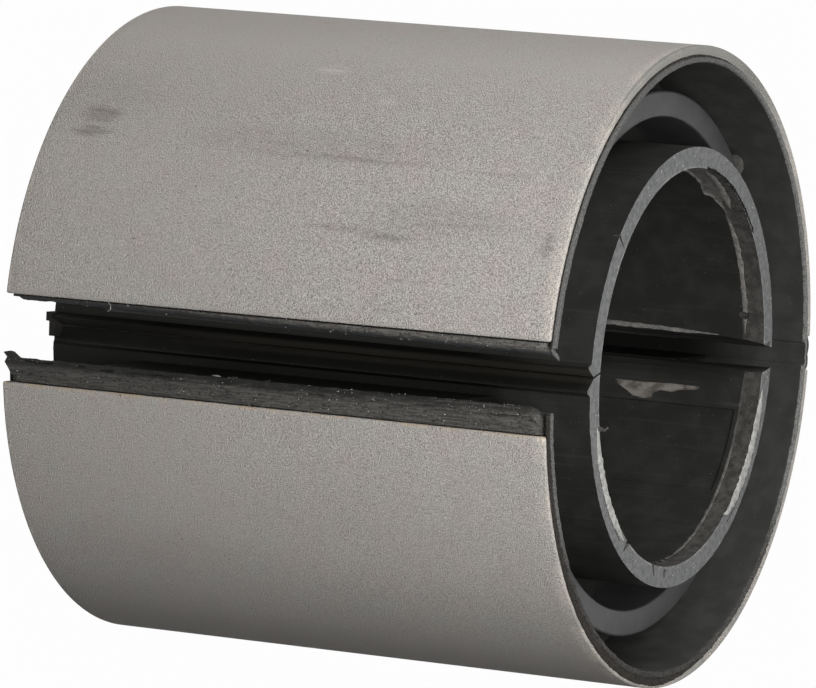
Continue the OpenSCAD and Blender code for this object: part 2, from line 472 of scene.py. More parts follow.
def make_torn_rubber():
    """Rubber torn off along the slot: fine lines along the axis, pits and dust, with painted shade low down
    and along the lips' inner corners.
    """
    finish, tree, shader = new_finish("torn_lip_rubber", 0.72, 0.12)
    x, _, z = coordinates(tree)
    pit_and_shade_black = (0.012, 0.012, 0.011)

    def past(side, edge):
        """Distance from the middle plane on a side, brought to the lower end of a tapered edge."""
        level = reckon(tree, "MULTIPLY", z, (edge[0] - edge[1]) / length)
        return reckon(tree, "ADD", reckon(tree, "MULTIPLY", x, side), level)

    left_half = span(tree, x, 1, -1)
    right_half = span(tree, x, -1, 1)
    lines = share(tree, grain(tree, 0.2, 3.0, (1, 1, 20)), 0.32, 0.68)
    right_grey = blended(tree, lines, (0.038, 0.037, 0.0345), (0.08, 0.0775, 0.0715))
    left_grey = blended(tree, lines, (0.062, 0.059, 0.054), (0.125, 0.12, 0.11))
    colour = blended(tree, left_half, right_grey, left_grey)
    colour = spotted(tree, colour, pit_and_shade_black, 0.3, 0.56, 0.66, 0.75, stretch=(1, 1, 2))
    # Painted shade towards the low end, strongest on the left lip.
    shade = all_of(tree, span(tree, z, 60, 8, 0.55), any_of(tree, left_half, 0.25))
    colour = blended(tree, shade, colour, pit_and_shade_black)
    # Painted shade along each lip's inner corner, which overhangs the slot: bluish grey on the left lip, near
    # black on the right.
    left_edge = left_lip_inner[0]
    left_corner_shade = span(tree, past(LEFT, left_lip_inner), left_edge + 1.0, left_edge + 0.2)
    colour = blended(tree, all_of(tree, left_corner_shade, left_half), colour, (0.026, 0.027, 0.029))
    right_edge = right_lip_inner[0]
    right_corner_shade = span(tree, past(RIGHT, right_lip_inner), right_edge + 1.3, right_edge + 0.5, 0.85)
    colour = blended(tree, all_of(tree, right_corner_shade, right_half), colour, (0.017, 0.017, 0.0155))
    left_steel = shell_near[LEFT]
    left_seam = span(tree, past(LEFT, left_steel), left_steel[0] - 0.35, left_steel[0] - 0.15)
    right_steel = shell_near[RIGHT]
    right_seam = span(tree, past(RIGHT, right_steel), right_steel[0] - 0.3, right_steel[0] - 0.1)
    colour = blended(tree, any_of(tree, left_seam, right_seam), colour, (0.007, 0.006, 0.005))
    dusted = spotted(tree, colour, (0.21, 0.2, 0.185), 0.22, 0.68, 0.74, 0.6, detail=1.0)
    paint(tree, shader, dusted)
    add_relief(tree, shader, grain(tree, 0.3, 3.0, (1, 1, 3)), 0.1)
    return finish


def make_lining_end():
    """The lining's rough end: a grey ridge, paler behind, and a dark brown fibrous film outside it."""
    finish, tree, shader = new_finish("lining_end_rubber", 0.75, 0.08)
    x, y, _ = coordinates(tree)
    fibres = share(tree, grain(tree, 0.3, 3.0), 0.35, 0.65)
    near_grey = blended(tree, fibres, (0.06, 0.06, 0.058), (0.125, 0.124, 0.12))
    far_grey = blended(tree, fibres, (0.1, 0.101, 0.096), (0.19, 0.19, 0.182))
    grey = blended(tree, span(tree, y, 0, 30), near_grey, far_grey)
    brown = blended(tree, fibres, (0.009, 0.008, 0.007), (0.034, 0.03, 0.026))
    r = from_axis(tree)
    right_film = all_of(tree, span(tree, r, outer_r - 1.75, outer_r - 1.6), span(tree, x, -2, 2))
    ridge_gain = any_of(tree, reckon(tree, "MULTIPLY", y, -1 / outer_r), 0)
    past_ridge = reckon(tree, "SUBTRACT", r, ridge_gain)
    left_film = all_of(tree, span(tree, past_ridge, outer_r - 1.85, outer_r - 1.7), span(tree, x, 2, -2))
    round_right = span(tree, x, 18, 32, 0.75)
    colour = blended(tree, any_of(tree, right_film, left_film, round_right), grey, brown)
    paint(tree, shader, colour)
    add_relief(tree, shader, grain(tree, 0.3, 3.0), 0.12)
    return finish


def make_trimmed_rubber():
    """The ring's trimmed end: grey worn rubber with a painted highlight, broken in patches, along the bore's
    edge.
    """
    finish = make_worn_rubber("trimmed_rubber", (0.094, 0.096, 0.096), (0.135, 0.137, 0.135), 0.45, 0.08)
    tree = finish.node_tree
    base_colour = tree.nodes["Principled BSDF"].inputs["Base Color"]
    worn = base_colour.links[0].from_socket
    # Painted highlight: a pale line, broken in patches, along the edge at the bore.
    edge_r = bore_r + rim_relief
    edge = span(tree, from_axis(tree), edge_r + 0.4, edge_r + 0.1)
    patchy_highlight = share(tree, grain(tree, 1.5, 3.0), 0.4, 0.65, 0.8)
    colour = blended(tree, all_of(tree, edge, patchy_highlight), worn, (0.24, 0.24, 0.235))
    tree.links.new(colour, base_colour)
    return finish


rubber_finishes = (
    make_moulded_rubber(),
    make_trimmed_rubber(),
    make_torn_rubber(),
    make_worn_rubber("rim_rubber", (0.029, 0.0275, 0.025), (0.056, 0.053, 0.049), 0.6, 0.05),
    make_worn_rubber("fresh_torn_rubber", (0.24, 0.238, 0.228), (0.37, 0.364, 0.348), 0.5, 0.06),
    make_worn_rubber("ledge_rubber", (0.1, 0.096, 0.09), (0.165, 0.158, 0.148), 0.5, 0.06),
    make_lining_end(),
    make_worn_rubber("frayed_rubber", (0.06, 0.058, 0.054), (0.1, 0.096, 0.09), 0.5, 0.1),
)


def rubber_piece(name, sections, finish=MOULDED):
    piece = lofted(name, sections)
    for material in rubber_finishes:
        piece.data.materials.append(material)
    for face in piece.data.polygons:
        face.material_index = finish
    return piece


def combine(tool, operation):
    """Unites the rubber body with the tool, or cuts it by the tool, and drops the tool."""
    change = rubber_body.modifiers.new("change", "BOOLEAN")
    change.operation = operation
    change.solver = "MANIFOLD"
    change.object = tool
    graph = bpy.context.evaluated_depsgraph_get()
    mesh = bpy.data.meshes.new_from_object(rubber_body.evaluated_get(graph))
    rubber_body.modifiers.remove(change)
    rubber_body.data = mesh
    bpy.data.objects.remove(tool)


def rough(point, size, depth, stretch=1.0):
    """A height of noise at a point, in millimetres, with grains drawn out along the axis."""
    grains = Vector((point.x, point.y, point.z / stretch)) / (size * MM)
    return depth * noise.fractal(grains, 0.8, 2.0, 4)


# Lining: a thin coat inside both half-shells and over the hinge. At the upper end it makes a grey
# ridge with a dark ragged film outside it, which lies over the ends of the shells on the near side.
lining_r = 46.4
lining_out = outer_r - 1.9
film_r = outer_r - 0.45
film_from = lining_out + 0.25
ridge = (
    (lining_out, 1.2), (lining_out + 0.05, 0.2), (film_r, 0.15), (film_r, -0.05), (film_r - 0.3, -0.1),
    (film_r - 0.6, -0.1), (film_from + 0.25, -0.08), (film_from, 0.0), (film_from - 0.15, -0.2),
    (lining_r + 0.3, -0.22), (lining_r + 0.05, -0.1), (lining_r, 0.25), (lining_r, 1.2), (lining_r, 2.8),
)
lining_section = [(r, length - under) for r, under in ridge]
lining_section += [(lining_r, length * (1 - i / 6)) for i in range(1, 6)]
lining_section += [(lining_r, 0.6), (lining_r + 0.2, 0.3), (lining_out, 0.3)]
lining_near = {LEFT: 5.0, RIGHT: 4.5}
ragged_from = length - 0.5


def film_cover(turn):
    """How much film there is at a turn from the slot: none on the far side, less on the left half."""
    cover = min(1.0, max(0.0, (math.cos(turn) + 0.45) / 0.5))
    if turn < math.pi:
        cover *= 0.35 + 0.65 * max(0.0, math.cos(turn))
    return cover


sections = []
lining_steps = 420
for step in range(lining_steps + 1):
    section = []
    for r, z in lining_section:
        first = math.asin(lining_near[LEFT] / r)
        last = 2 * math.pi - math.asin(lining_near[RIGHT] / r)
        turn = first + (last - first) * step / lining_steps
        spot = round_place(LEFT, r, turn, z)
        if z > ragged_from:
            ragged = 0.14 + 0.16 * max(0.0, -math.sin(turn))
            z += abs(rough(spot, 0.5, ragged))
            r = lining_out + (r - lining_out) * film_cover(turn) if r > lining_out else r
            r += rough(spot + Vector((0, 0, 20 * MM)), 0.5, 0.5 * ragged)
        section.append(round_place(LEFT, r, turn, z))
    sections.append(section)
rubber_body = rubber_piece("rubber_body_moulding", sections)
for face in rubber_body.data.polygons:
    if face.center.z > (ragged_from + 0.05) * MM:
        face.material_index = LINED

# Block: the thick middle between the ring and the lining, with a recess above and below it
void_depth = 16
slot_half = 4.1
block_wall = (ring_r - 0.5, lining_r + 0.4, void_depth, length - void_depth, 0.6)
block_steps = 200
sections = []
for step in range(block_steps + 1):
    section = []
    for r, z in wall_section(block_wall, 0, 4):
        first = math.asin(slot_half / r)
        turn = first + (2 * math.pi - 2 * first) * step / block_steps
        section.append(round_place(LEFT, r, turn, z))
    sections.append(section)
combine(rubber_piece("block", sections), "UNION")

# Hinge web: fills the gap between the shells' far edges and bulges out in two low folds
web_steps = 80
web_across = 22
web_low = 0.6
web_high = length - 0.4
fold_h = 0.55
fold_edge = 0.4
sections = []
for step in range(web_steps + 1):
    z = web_low + (web_high - web_low) * step / web_steps
    section = []
    for i in range(web_across + 1):
        x = shell_far * (2 * i / web_across - 1)
        fold = fold_h * math.sqrt(abs(math.sin(math.pi * (x - 0.3) / shell_far)))
        edge = min(1.0, (shell_far - abs(x)) / fold_edge)
        r = outer_r - 0.1 + fold * edge + rough(Vector((x, 0, z)) * MM, 1.5, 0.12, 2.0)
        section.append(Vector((x, math.sqrt(r * r - x * x), z)) * MM)
    section += [Vector((shell_far * (1 - i / 2), lining_r + 0.2, z)) * MM for i in range(5)]
    sections.append(section)
combine(rubber_piece("hinge_web", sections, RIM), "UNION")

# Hinge gap: a slit from the ring out to the web, a little wider where it cuts the lining
gap_half = 1.65
gap_end = outer_r - 2.4
groove_half = 2.1
half_outline = [(gap_half, ring_r - 1), (gap_half, lining_r - 0.9), (groove_half, lining_r - 0.4)]
half_outline += [(groove_half, gap_end - 0.5), (groove_half - 0.5, gap_end)]
outline = half_outline + [(-x, y) for x, y in reversed(half_outline)]
sections = [[Vector((x, y, z)) * MM for x, y in outline] for z in (-1, length + 1)]
combine(rubber_piece("gap", sections), "DIFFERENCE")


# Lips: where the mould closed along the slot, its rubber was torn off beside the shells' edges
def left_lip(x, z, inner, outer):
    """Radius of the left lip's outside: one rough band that dips where it meets the shell."""
    spot = Vector((x, 0, z)) * MM
    dip = 0.4 * math.exp(-((outer - x) / 0.25) ** 2)
    return outer_r - 0.3 - dip + rough(spot, 0.7, 0.2, 1.4)


def right_lip(x, z, inner, outer):
    """Radius of the right lip's outside: a smooth layer, a seam, and a lower, ridged layer."""
    spot = Vector((x, 0, z)) * MM
    seam = inner + 0.4 + 1.2 * z / length + 0.25 * noise.noise(Vector((0, 5, z / 7)))
    dip = 0.4 * math.exp(-((outer - x) / 0.2) ** 2) + 0.6 * math.exp(-((x - seam) / 0.17) ** 2)
    if x < seam:
        return outer_r - 0.55 - dip + rough(spot, 0.5, 0.2, 9.0)
    return outer_r - 0.15 - dip + rough(spot, 0.5, 0.14, 7.0)


def slot_lip(side, outside, inner_ends):
    """A torn lip, from under the shell's edge to its own inner edge over the slot."""
    low_edge, high_edge = shell_near[side]
    bend = 1.3 if side == LEFT else 1.2
    across = 17
    down = 6
    steps = 220
    low = lining_r - 0.05
    z_low = 1.4
    z_high = length - 0.9
    end_cut = 1.9
    end_long = 2.6
    lip_sections = []
    for step in range(steps + 1):
        z = z_low + (z_high - z_low) * step / steps
        outer = low_edge + (high_edge - low_edge) * z / length + 0.1
        wavy = rough(Vector((0, side * 9, z)) * MM, 1.2, 0.12)
        inner = inner_ends[0] + (inner_ends[1] - inner_ends[0]) * z / length + wavy
        if side == RIGHT:
            inner += end_cut * max(0.0, 1 - (z_high - z) / end_long) ** 2
        round_off = 0.8 * max(0.0, 1 - min(step, steps - step) / 3) ** 2
        section = []
        for i in range(across):
            x = outer + (inner - outer) * i / across
            corner = bend * max(0.0, 1 - (x - inner) / bend) ** 2
            r = min(outer_r, outside(x, z, inner, outer) - corner - round_off)
            section.append(flat_place(side * x, r, z))
        top = outer_r - 0.4 - bend - round_off
        for i in range(down):
            r = top + (low - top) * i / down
            x = inner + rough(Vector((0, r, z)) * MM, 1.2, 0.08, 5.0)
            section.append(flat_place(side * x, r, z))
        section += [flat_place(side * (inner + (outer - inner) * i / 3), low, z) for i in range(3)]
        section += [flat_place(side * outer, low + (top - low) * i / 3, z) for i in range(4)]
        lip_sections.append(section)
    return rubber_piece("slot_lip", lip_sections, TORN)


combine(slot_lip(LEFT, left_lip, left_lip_inner), "UNION")
combine(slot_lip(RIGHT, right_lip, right_lip_inner), "UNION")

# Ring: two halves round the bore, with a kinked crack and a V groove between two sealing crests
crest_at = {LEFT: 1.7, RIGHT: 2.2}
crest_foot = {LEFT: 0.35, RIGHT: 0.6}
crest_h = {LEFT: 3.0, RIGHT: 2.3}
groove_r = ring_r - 1.2
near_end = 4.6
crack_half = 0.15
crack_kink = 0.6
rim_h = {LEFT: 3.4, RIGHT: 2.9}
low_rim_h = 2.4
gap_rim = 2.3
gap_skin = 4.6


def ring_outside(side, x, z):
    """Radius of the ring's outside at a distance from the middle plane, over the crests."""
    spot = Vector((side * 3, x / 2, z / 8))
    crest_r = ring_r + crest_h[side] + 0.3 * noise.noise(spot)
    if side == RIGHT:
        crest_r -= crest_h[side] * max(0.0, 1 - (z - ring_low) / 5)
    if z > length - 1:
        crest_r -= 0.5 * crest_h[side]
    crest_x = crest_at[side]
    if x < crest_x:
        r = groove_r + (crest_r - groove_r) * x / crest_x
    else:
        r = max(ring_r, crest_r - (crest_r - ring_r) * (x - crest_x) / crest_foot[side])
    return r - 0.25 * math.exp(-((x - crest_x) / 0.25) ** 2)


# Where the skin is torn off the left rim: the turn in degrees, and the depth under the end
torn_edge = (
    (96, 3.4), (103, 4.9), (104, 4.2), (111, 4.5), (118, 4.6), (123, 5.2), (125, 5.4), (126, 4.2),
    (129, 4.0), (131, 3.4), (133, 3.2), (136, 3.4),
)


def skin_end(side, turn):
    """Height at which the bore's skin ends under the rim, ragged where it is torn."""
    ragged = rough(Vector((30 * turn, side * 40, 0)) * MM, 2.0, 0.2)
    under = rim_h[side]
    at = math.degrees(turn)
    for (start, depth), (end, next_depth) in zip(torn_edge, torn_edge[1:]):
        if side == LEFT and start <= at < end:
            under = depth + (next_depth - depth) * (at - start) / (end - start)
    return length - under + ragged


def bore_gap(side, kind, z):
    """Half width of the hinge gap at the bore, narrower through the rims."""
    if side == LEFT:
        return 3.9 - 1.6 * math.exp(-min(z - ring_low, length - z) / 14)
    return gap_skin if kind == SKIN else gap_rim


rows_out = 16
rows_in = 14
rows_end = 8
OUT, END, RIM_WALL, SKIN, LOW_RIM = range(5)
ring_rows = [(OUT, 1, ring_low + (length - ring_low) * i / rows_out) for i in range(rows_out)]
ring_rows += [(END, 1 - i / rows_end, length) for i in range(rows_end)]
rim_levels = (1.0, 0.9, 0.78, 0.65, 0.52, 0.39, 0.26, 0.14, 0.02)
ring_rows += [(RIM_WALL, 0, level) for level in rim_levels]
ring_rows += [(SKIN, 0, i / rows_in) for i in range(rows_in + 1)]
ring_rows += [(LOW_RIM, 0, ring_low + low_rim_h * part) for part in (0.99, 0.5)]
ring_rows += [(END, i / rows_end, ring_low) for i in range(rows_end)]


def ring_point(side, kind, out, level, turn):
    """Inner radius and height of a row of the ring's section at a turn from the slot."""
    if kind == RIM_WALL:
        ledge = skin_end(side, turn)
        return bore_r + rim_relief, ledge + (length - ledge) * level
    if kind == SKIN:
        top = skin_end(side, turn) - 0.02
        bottom = ring_low + low_rim_h
        return bore_r, top + (bottom - top) * level
    if kind == END and level == length:
        spot = round_place(side, bore_r + 3 * out, turn, 0)
        return bore_r + rim_relief, length + rough(spot, 1.5, 0.06)
    return bore_r + rim_relief, level


near_steps = 30
round_steps = 240
for side in (LEFT, RIGHT):
    sections = []
    for step in range(near_steps + 1):
        x = crack_half + (near_end - crack_half) * step / near_steps
        section = []
        for kind, out, level in ring_rows:
            inner, z = ring_point(side, kind, out, level, math.asin(x / bore_r))
            r = inner + out * (ring_outside(side, x, z) - inner)
            kink = crack_kink * (1 - out) * (1 - step / near_steps)
            section.append(flat_place(side * x - kink, r, z))
        sections.append(section)
    for step in range(1, round_steps + 1):
        section = []
        for kind, out, level in ring_rows:
            start = math.asin(near_end / bore_r)
            turn = start + (math.pi - start) * step / round_steps
            inner, z = ring_point(side, kind, out, level, turn)
            r = inner + out * (ring_r - inner)
            wide = bore_gap(side, kind, z)
            wide += (gap_half - wide) * out + rough(Vector((0, side * 7, z)) * MM, 1.5, 0.12)
            start = math.asin(near_end / r)
            end = math.pi - math.asin(wide / r)
            section.append(round_place(side, r, start + (end - start) * step / round_steps, z))
        sections.append(section)
    half_ring = rubber_piece("half_ring", sections)
    for face in half_ring.data.polygons:
        r = face.center.xy.length / MM
        if face.normal.z > 0.8 and face.center.z > (length - 0.5) * MM:
            face.material_index = TRIMMED if r < ring_r + 1.0 else RIM
        elif bore_r + 0.15 < r < bore_r + 0.6 and face.center.z > (length - 6) * MM:
            if face.normal.xy.dot(face.center.xy) < 0:
                turn = math.degrees(math.atan2(abs(face.center.x), -face.center.y))
                past = (turn - torn_edge[0][0]) / (torn_edge[-1][0] - torn_edge[0][0])
                bare = 0.3 + 3.4 * past + 0.7 * noise.noise(face.center / MM * 0.6)
                torn = side == LEFT and 0 < past < 1 and length - face.center.z / MM > bare
                face.material_index = FRAYED if torn else RIM
    combine(half_ring, "UNION")

# Flash that fills the low end of the groove between the crests
plug_foot = ring_r - 0.8
plug = (
    (-2.2, plug_foot), (-2.2, 36.3), (-0.85, 36.2), (-0.7, 35.2), (1.55, 35.1), (1.65, plug_foot),
)
sections = [[flat_place(x, r, ring_low + along) for x, r in plug] for along in (0.02, 0.5, 1.0)]
combine(rubber_piece("plug", sections), "UNION")

# Beds of the sleeves, which the rubber flows round, and the shallow pocket in the bore
inner_low, inner_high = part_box("inner_sleeve_left")
inner_r_in = 30.8
inner_r_out = 32.8
inner_wall = (inner_r_in, inner_r_out, inner_low.z / MM, inner_high.z / MM, 0.3)
inner_near = (1.75, 1.75)
inner_far = 3.54
inner_soft = 0.05
for side in (LEFT, RIGHT):
    mid_bed = half_sleeve("bed", side, mid_wall, mid_near, mid_far, mid_soft, 160, 4)
    combine(mid_bed, "DIFFERENCE")
    inner_bed = half_sleeve("bed", side, inner_wall, inner_near, inner_far, inner_soft, 160, 4)
    combine(inner_bed, "DIFFERENCE")

pocket_low = ring_low + 3.5
pocket_high = length - 3.6
pocket_r = bore_r + 0.5
clear_r = bore_r - 1
pocket = ((clear_r, pocket_low), (pocket_r, pocket_low), (pocket_r, pocket_high), (clear_r, pocket_high))
pocket_start = 137
pocket_sweep = 27
pocket_steps = 20
pocket_turns = [math.radians(pocket_start + pocket_sweep * i / pocket_steps)
                for i in range(pocket_steps + 1)]
sections = [[round_place(RIGHT, r, turn, z) for r, z in pocket] for turn in pocket_turns]
combine(rubber_piece("pocket", sections), "DIFFERENCE")


# Flash, slivers and tears that the mould, the trimming knife and handling left on the rubber
def sliver(name, side, route, half_wide, half_high, up, finish):
    """A strip along a route of (radius, turn, height), with two half sizes at each point."""
    spine = [round_place(side, r, math.radians(turn), z) for r, turn, z in route]
    sides = 8
    sections = []
    for i, point in enumerate(spine):
        ahead = spine[min(i + 1, len(spine) - 1)] - spine[max(i - 1, 0)]
        across = ahead.cross(Vector(up)).normalized()
        lift = across.cross(ahead).normalized()
        section = []
        for k in range(sides):
            turn = 2 * math.pi * k / sides
            shake = 1 + 0.35 * noise.noise(point / MM * 1.7 + Vector((5 * k, 0, 0)))
            wide = half_wide[i] * math.cos(turn) * shake
            high = half_high[i] * math.sin(turn) * shake
            section.append(point + (across * wide + lift * high) * MM)
        sections.append(section)
    return rubber_piece(name, sections, finish)


def arc(r_start, r_end, turn_start, turn_end, z_start, z_end, pieces):
    """Points along an arc round the axis, as a route for a sliver."""
    route = []
    for i in range(pieces + 1):
        part = i / pieces
        r = r_start + (r_end - r_start) * part
        turn = turn_start + (turn_end - turn_start) * part
        route.append((r, turn, z_start + (z_end - z_start) * part))
    return route


def tapered(most, pieces):
    """Half sizes that swell quickly from a point, stay wavy and end in a point."""
    sizes = []
    for i in range(pieces + 1):
        ends = min(1.0, 6 * min(i, pieces - i) / pieces)
        wave = 1 + 0.3 * noise.noise(Vector((i * 0.37, most * 9, 0)))
        sizes.append(most * (0.15 + 0.85 * ends) * wave)
    return sizes


AXIAL = (0, 0, 1)
OUTWARD = (0, -1, 0)
top = length
long_slivers = (
    ("strip_right", RIGHT, arc(31.2, 31.3, 130.5, 171, top, top, 60), 0.95, 0.24, PALE),
    ("strip_near", RIGHT, arc(31.1, 31.05, 14, 54.5, top, top, 50), 0.75, 0.22, PALE),
    ("ledge_left", LEFT, arc(30.15, 30.15, 133, 173, top - 3.2, top - 3.1, 50), 0.16, 0.5, LEDGE),
    ("ledge_right", RIGHT, arc(30.15, 30.15, 98, 158, top - 2.75, top - 2.75, 60), 0.12, 0.22, FRAYED),
    ("scrap", LEFT, arc(30.35, 30.3, 104, 129, top - 1.5, top - 2.3, 34), 0.14, 0.62, LEDGE),
    ("gap_edge", LEFT, arc(29.95, 29.95, 172.4, 174.1, 40, top - 7.5, 60), 0.36, 0.27, LEDGE),
)
for name, side, route, wide, high, finish in long_slivers:
    pieces = len(route) - 1
    up = OUTWARD if name == "gap_edge" else AXIAL
    strip = sliver(name, side, route, tapered(wide, pieces), tapered(high, pieces), up, finish)
    combine(strip, "UNION")

flash = (
    ("lip_fibre", LEFT, PALE, OUTWARD,
     ((48.4, 6.6, 17.4), (48.7, 6.0, 18.0), (48.7, 5.4, 18.1), (48.5, 4.9, 17.5)),
     (0.06, 0.06, 0.06, 0.04), (0.06, 0.06, 0.06, 0.04)),
    ("lip_shred", RIGHT, PALE, OUTWARD,
     ((46.3, 5.1, 34.6), (46.5, 5.0, 35.2), (46.5, 5.05, 35.9), (46.3, 5.2, 36.4)),
     (0.08, 0.16, 0.14, 0.05), (0.08, 0.12, 0.12, 0.05)),
    ("lip_skin", RIGHT, RIM, OUTWARD,
     ((47.8, 5.6, 70), (47.7, 5.1, 74), (47.7, 5.2, 78), (47.6, 5.0, 82), (47.6, 5.2, 86), (47.5, 5.0, 88.5)),
     (0.05, 0.25, 0.3, 0.25, 0.3, 0.1), (0.05, 0.2, 0.2, 0.22, 0.2, 0.1)),
    ("lining_hook", LEFT, LINED, AXIAL,
     ((46.6, 6.0, 90.3), (46.4, 5.2, 90.7), (45.7, 4.6, 90.9), (45.0, 4.2, 90.8), (44.7, 4.5, 90.5)),
     (0.35, 0.35, 0.3, 0.25, 0.12), (0.3, 0.3, 0.25, 0.2, 0.1)),
    ("torn_end", RIGHT, PALE, AXIAL,
     ((31.0, 132, 91.1), (30.6, 130, 91.2), (30.2, 128.6, 91.3), (29.9, 128, 91.2)),
     (0.4, 0.4, 0.3, 0.1), (0.2, 0.25, 0.2, 0.1)),
    ("bore_whisker", RIGHT, RIM, AXIAL,
     ((30.8, 14.5, 90.9), (29.6, 15.4, 91.0), (28.9, 16.2, 91.1), (27.8, 16.2, 91.0), (27.0, 17.0, 90.8)),
     (0.4, 0.3, 0.2, 0.22, 0.06), (0.2, 0.15, 0.12, 0.1, 0.06)),
    ("recess_nub", LEFT, FRAYED, (1, 0, 0),
     ((41.8, 137, 74), (42.2, 136.5, 79), (42.4, 136, 83), (42.4, 135.5, 84.8), (42.4, 135, 85.5)),
     (0.9, 1.0, 1.0, 0.8, 0.4), (1.2, 1.7, 1.9, 1.7, 1.0)),
    ("gap_flash", RIGHT, LEDGE, AXIAL,
     ((31.0, 174.2, 90.6), (31.6, 174.6, 90.8), (32.2, 174.9, 90.9), (32.8, 175.3, 90.8)),
     (0.3, 0.4, 0.35, 0.15), (0.2, 0.25, 0.2, 0.1)),
)
for name, side, finish, up, route, wide, high in flash:
    combine(sliver(name, side, route, wide, high, up, finish), "UNION")

# Tab: a torn wedge of the right lip that stands up beside its low end
tab_edge = (
    (3.2, 1.0), (3.4, 0.2), (4.1, 0.85), (4.9, 0.4), (5.9, 1.1), (6.7, 1.5), (6.7, 4.4), (4.9, 4.8),
    (4.7, 3.6), (3.9, 2.4), (3.3, 1.6),
)
tab_faces = (47.9, 48.9)
sections = [[flat_place(x, r, z) for x, z in tab_edge] for r in tab_faces]
combine(rubber_piece("lip_tab", sections, TORN), "UNION")

tears = (
    ("crack", LEFT, ((33.9, 38.4, top), (32.9, 38.1, top), (31.9, 38.0, top), (31.0, 37.7, top)),
     (0.22, 0.2, 0.13, 0.04), (1.2, 0.9, 0.6, 0.2)),
    ("notch", RIGHT, ((29.6, 57.4, top), (30.6, 57.0, top), (31.6, 56.4, top), (32.4, 56.0, top)),
     (0.6, 0.5, 0.3, 0.05), (0.9, 0.9, 0.5, 0.2)),
    ("slit", RIGHT, ((30.2, 77.0, top), (30.9, 77.6, top), (31.6, 78.3, top), (32.2, 79.0, top)),
     (0.2, 0.26, 0.22, 0.05), (0.8, 0.8, 0.6, 0.2)),
    ("pit", RIGHT, ((30.7, 85.4, top), (31.1, 85.5, top), (31.7, 85.5, top), (32.1, 85.4, top)),
     (0.15, 0.5, 0.5, 0.15), (0.2, 0.6, 0.6, 0.2)),
    ("ledge_notch", LEFT,
     ((29.4, 167.5, 87.9), (29.9, 167.5, 87.9), (30.3, 167.5, 87.9), (30.7, 167.6, 87.9)),
     (0.7, 0.65, 0.55, 0.3), (1.0, 0.95, 0.8, 0.4)),
    ("far_bite", LEFT, ((31.4, 177.6, top), (32.0, 176.6, top), (32.5, 176.0, top), (32.9, 175.6, top)),
     (0.5, 0.45, 0.35, 0.1), (0.9, 0.8, 0.6, 0.2)),
)
for name, side, route, wide, high in tears:
    combine(sliver(name, side, route, wide, high, AXIAL, RIM), "DIFFERENCE")

# Crevices: beside the torn skin of the left rim, and between the right strip and the end face
crevices = (
    (LEFT, arc(30.55, 30.75, 98, 140, top, top, 60), 0.16, 0.42, 0.4, 1.1),
    (RIGHT, arc(32.2, 32.35, 129, 165, top + 0.1, top + 0.1, 60), 0.08, 0.2, 0.35, 0.5),
    (RIGHT, arc(31.95, 31.85, 26, 52, top + 0.1, top + 0.1, 50), 0.03, 0.14, 0.2, 0.5),
)
for side, route, wide, more_wide, high, more_high in crevices:
    shakes = [abs(noise.noise(Vector((i * 0.6, 0, 3)))) for i in range(len(route))]
    wides = [wide + more_wide * shake for shake in shakes]
    highs = [high + more_high * shake for shake in shakes]
    combine(sliver("crevice", side, route, wides, highs, AXIAL, MOULDED), "DIFFERENCE")

# The patch where the skin is gone shows the right inner half-sleeve, with a ragged edge
patch_edge = (
    (169.9, 66.2), (168.2, 66.9), (166.8, 68.4), (165.3, 69.6), (164.7, 71.4), (164.8, 73.0), (166.6, 73.4),
    (167.6, 74.4), (167.3, 76.4), (168.2, 77.6), (168.8, 80.6), (169.9, 81.2), (170.1, 76.0), (169.7, 70.5),
)
patch_faces = (clear_r, inner_r_in + 0.04)
patch_route = [(math.radians(turn), z) for turn, z in patch_edge]
sections = [[round_place(RIGHT, r, turn, z) for turn, z in patch_route] for r in patch_faces]
combine(rubber_piece("patch", sections, RIM), "DIFFERENCE")

smooth(rubber_body)
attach(rubber_body, "root")
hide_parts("rubber_body")

# Crumbs
# Grit and rubber dust that cling to the torn lips and lie on the trimmed end of the ring. One
# Geometry Nodes tree strews them over the faces of a finish, with a fixed seed.


